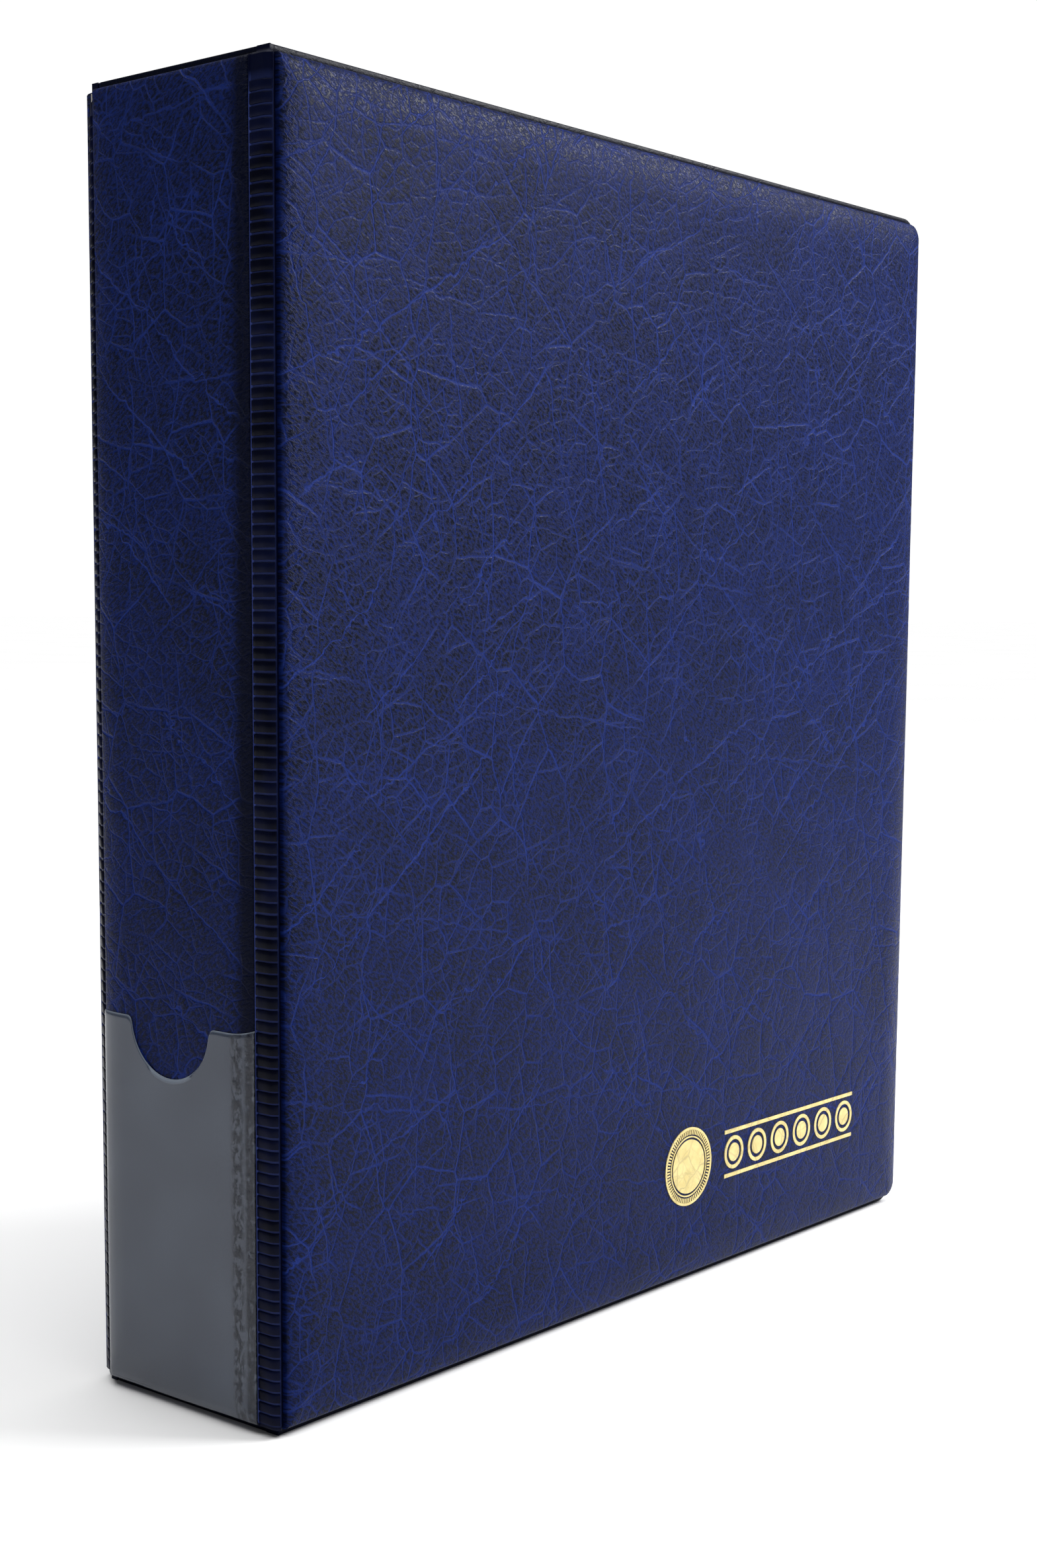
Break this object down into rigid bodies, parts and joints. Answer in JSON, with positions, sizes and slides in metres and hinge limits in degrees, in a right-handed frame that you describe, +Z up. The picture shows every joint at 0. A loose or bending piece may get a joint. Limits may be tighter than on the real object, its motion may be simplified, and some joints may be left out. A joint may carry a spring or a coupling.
{
  "type": "coin album",
  "caption": "Padded leatherette ring album for coins: a wide spine with a label pocket, two covers that swing, a ring mechanism with opening levers, and clear coin sheets.",
  "frame": {"origin": "centre of the album's base, on the surface it stands on", "axes": "+Z up the spine, -X out of the spine's face, -Y out of the front cover"},
  "size_m": [0.21, 0.05, 0.23],
  "materials": {
    "leatherette": "embossed navy PVC leatherette, semi-gloss",
    "liner_sheet": "smooth navy PVC sheet, satin",
    "greyboard": "pressed grey board",
    "foam": "thin soft foam",
    "gold_foil": "stamped gold foil",
    "pocket_film": "clear PVC film, slightly milky",
    "binding_vinyl": "white PVC strip",
    "coin_film": "clear PVC film",
    "ring_wire": "nickel-plated wire",
    "plate_steel": "zinc-plated steel",
    "rail_steel": "nickel-plated steel",
    "fastener_steel": "nickel-plated steel"
  },
  "bodies": {
    "spine": {"front_hinge_weld": "leatherette", "lower_lever_pin": "fastener_steel", "lower_rail_rivet": "fastener_steel", "rear_hinge_weld": "leatherette", "ring_rail": "rail_steel", "spine_board": "greyboard", "spine_inner_liner": "liner_sheet", "spine_label_pocket": "pocket_film", "spine_outer_skin": "leatherette", "spine_padding": "foam", "upper_lever_pin": "fastener_steel", "upper_rail_rivet": "fastener_steel"},
    "front_cover": {"front_board": "greyboard", "front_padding": "foam", "front_outer_skin": "leatherette", "front_inner_liner": "liner_sheet", "front_foil_ornament": "gold_foil"},
    "rear_cover": {"rear_board": "greyboard", "rear_padding": "foam", "rear_outer_skin": "leatherette", "rear_inner_liner": "liner_sheet"},
    "front_rings": {"front_half_ring_1": "ring_wire", "front_half_ring_2": "ring_wire", "front_half_ring_3": "ring_wire", "front_half_ring_4": "ring_wire", "front_hinge_plate": "plate_steel"},
    "rear_rings": {"rear_half_ring_1": "ring_wire", "rear_half_ring_2": "ring_wire", "rear_half_ring_3": "ring_wire", "rear_half_ring_4": "ring_wire", "rear_hinge_plate": "plate_steel"},
    "lower_lever": {"lower_lever": "rail_steel"},
    "upper_lever": {"upper_lever": "rail_steel"},
    "coin_sheet_1": {"coin_sheet_1_binding": "binding_vinyl", "coin_sheet_1_pockets": "coin_film"},
    "coin_sheet_2": {"coin_sheet_2_binding": "binding_vinyl", "coin_sheet_2_pockets": "coin_film"},
    "coin_sheet_3": {"coin_sheet_3_binding": "binding_vinyl", "coin_sheet_3_pockets": "coin_film"},
    "coin_sheet_4": {"coin_sheet_4_binding": "binding_vinyl", "coin_sheet_4_pockets": "coin_film"},
    "coin_sheet_5": {"coin_sheet_5_binding": "binding_vinyl", "coin_sheet_5_pockets": "coin_film"},
    "coin_sheet_6": {"coin_sheet_6_binding": "binding_vinyl", "coin_sheet_6_pockets": "coin_film"},
    "coin_sheet_7": {"coin_sheet_7_binding": "binding_vinyl", "coin_sheet_7_pockets": "coin_film"},
    "coin_sheet_8": {"coin_sheet_8_binding": "binding_vinyl", "coin_sheet_8_pockets": "coin_film"}
  },
  "joints": [
    {"name": "front_cover_swing", "type": "hinge", "parent": "spine", "child": "front_cover", "pos_m": [-0.1026, -0.0228, 0.115], "axis": [0, 0, -1], "range_deg": [0, 180], "deforming": ["front_hinge_weld"]},
    {"name": "rear_cover_swing", "type": "hinge", "parent": "spine", "child": "rear_cover", "pos_m": [-0.1026, 0.0229, 0.115], "axis": [0, 0, 1], "range_deg": [0, 180], "deforming": ["rear_hinge_weld"]},
    {"name": "front_rings_open", "type": "hinge", "parent": "spine", "child": "front_rings", "pos_m": [-0.0987, -0.0083, 0.115], "axis": [0, 0, -1], "range_deg": [0, 10]},
    {"name": "rear_rings_open", "type": "hinge", "parent": "spine", "child": "rear_rings", "pos_m": [-0.0987, 0.0083, 0.115], "axis": [0, 0, 1], "range_deg": [0, 10]},
    {"name": "upper_lever_tilt", "type": "hinge", "parent": "spine", "child": "upper_lever", "pos_m": [-0.0989, 0, 0.203], "axis": [0, -1, 0], "range_deg": [0, 21]},
    {"name": "lower_lever_tilt", "type": "hinge", "parent": "spine", "child": "lower_lever", "pos_m": [-0.0989, 0, 0.027], "axis": [0, 1, 0], "range_deg": [0, 21]},
    {"name": "coin_sheet_1_turn", "type": "hinge", "parent": "spine", "child": "coin_sheet_1", "pos_m": [-0.0808, 0, 0.115], "axis": [0, 0, -1], "range_deg": [0, 90]},
    {"name": "coin_sheet_2_turn", "type": "hinge", "parent": "spine", "child": "coin_sheet_2", "pos_m": [-0.0808, 0, 0.115], "axis": [0, 0, -1], "range_deg": [0, 87.3]},
    {"name": "coin_sheet_3_turn", "type": "hinge", "parent": "spine", "child": "coin_sheet_3", "pos_m": [-0.0808, 0, 0.115], "axis": [0, 0, -1], "range_deg": [0, 84.6]},
    {"name": "coin_sheet_4_turn", "type": "hinge", "parent": "spine", "child": "coin_sheet_4", "pos_m": [-0.0808, 0, 0.115], "axis": [0, 0, -1], "range_deg": [0, 81.9]},
    {"name": "coin_sheet_5_turn", "type": "hinge", "parent": "spine", "child": "coin_sheet_5", "pos_m": [-0.0808, 0, 0.115], "axis": [0, 0, 1], "range_deg": [0, 81.9]},
    {"name": "coin_sheet_6_turn", "type": "hinge", "parent": "spine", "child": "coin_sheet_6", "pos_m": [-0.0808, 0, 0.115], "axis": [0, 0, 1], "range_deg": [0, 84.6]},
    {"name": "coin_sheet_7_turn", "type": "hinge", "parent": "spine", "child": "coin_sheet_7", "pos_m": [-0.0808, 0, 0.115], "axis": [0, 0, 1], "range_deg": [0, 87.3]},
    {"name": "coin_sheet_8_turn", "type": "hinge", "parent": "spine", "child": "coin_sheet_8", "pos_m": [-0.0808, 0, 0.115], "axis": [0, 0, 1], "range_deg": [0, 90]}
  ],
  "couplings": [
    {"joint": "rear_rings_open", "follows": "front_rings_open", "ratio": 1},
    {"joint": "upper_lever_tilt", "follows": "front_rings_open", "ratio": 2.1},
    {"joint": "lower_lever_tilt", "follows": "front_rings_open", "ratio": 2.1},
    {"joint": "coin_sheet_1_turn", "follows": "front_cover_swing", "ratio": 0.5},
    {"joint": "coin_sheet_2_turn", "follows": "front_cover_swing", "ratio": 0.485},
    {"joint": "coin_sheet_3_turn", "follows": "front_cover_swing", "ratio": 0.47},
    {"joint": "coin_sheet_4_turn", "follows": "front_cover_swing", "ratio": 0.455},
    {"joint": "coin_sheet_5_turn", "follows": "rear_cover_swing", "ratio": 0.455},
    {"joint": "coin_sheet_6_turn", "follows": "rear_cover_swing", "ratio": 0.47},
    {"joint": "coin_sheet_7_turn", "follows": "rear_cover_swing", "ratio": 0.485},
    {"joint": "coin_sheet_8_turn", "follows": "rear_cover_swing", "ratio": 0.5}
  ]
}
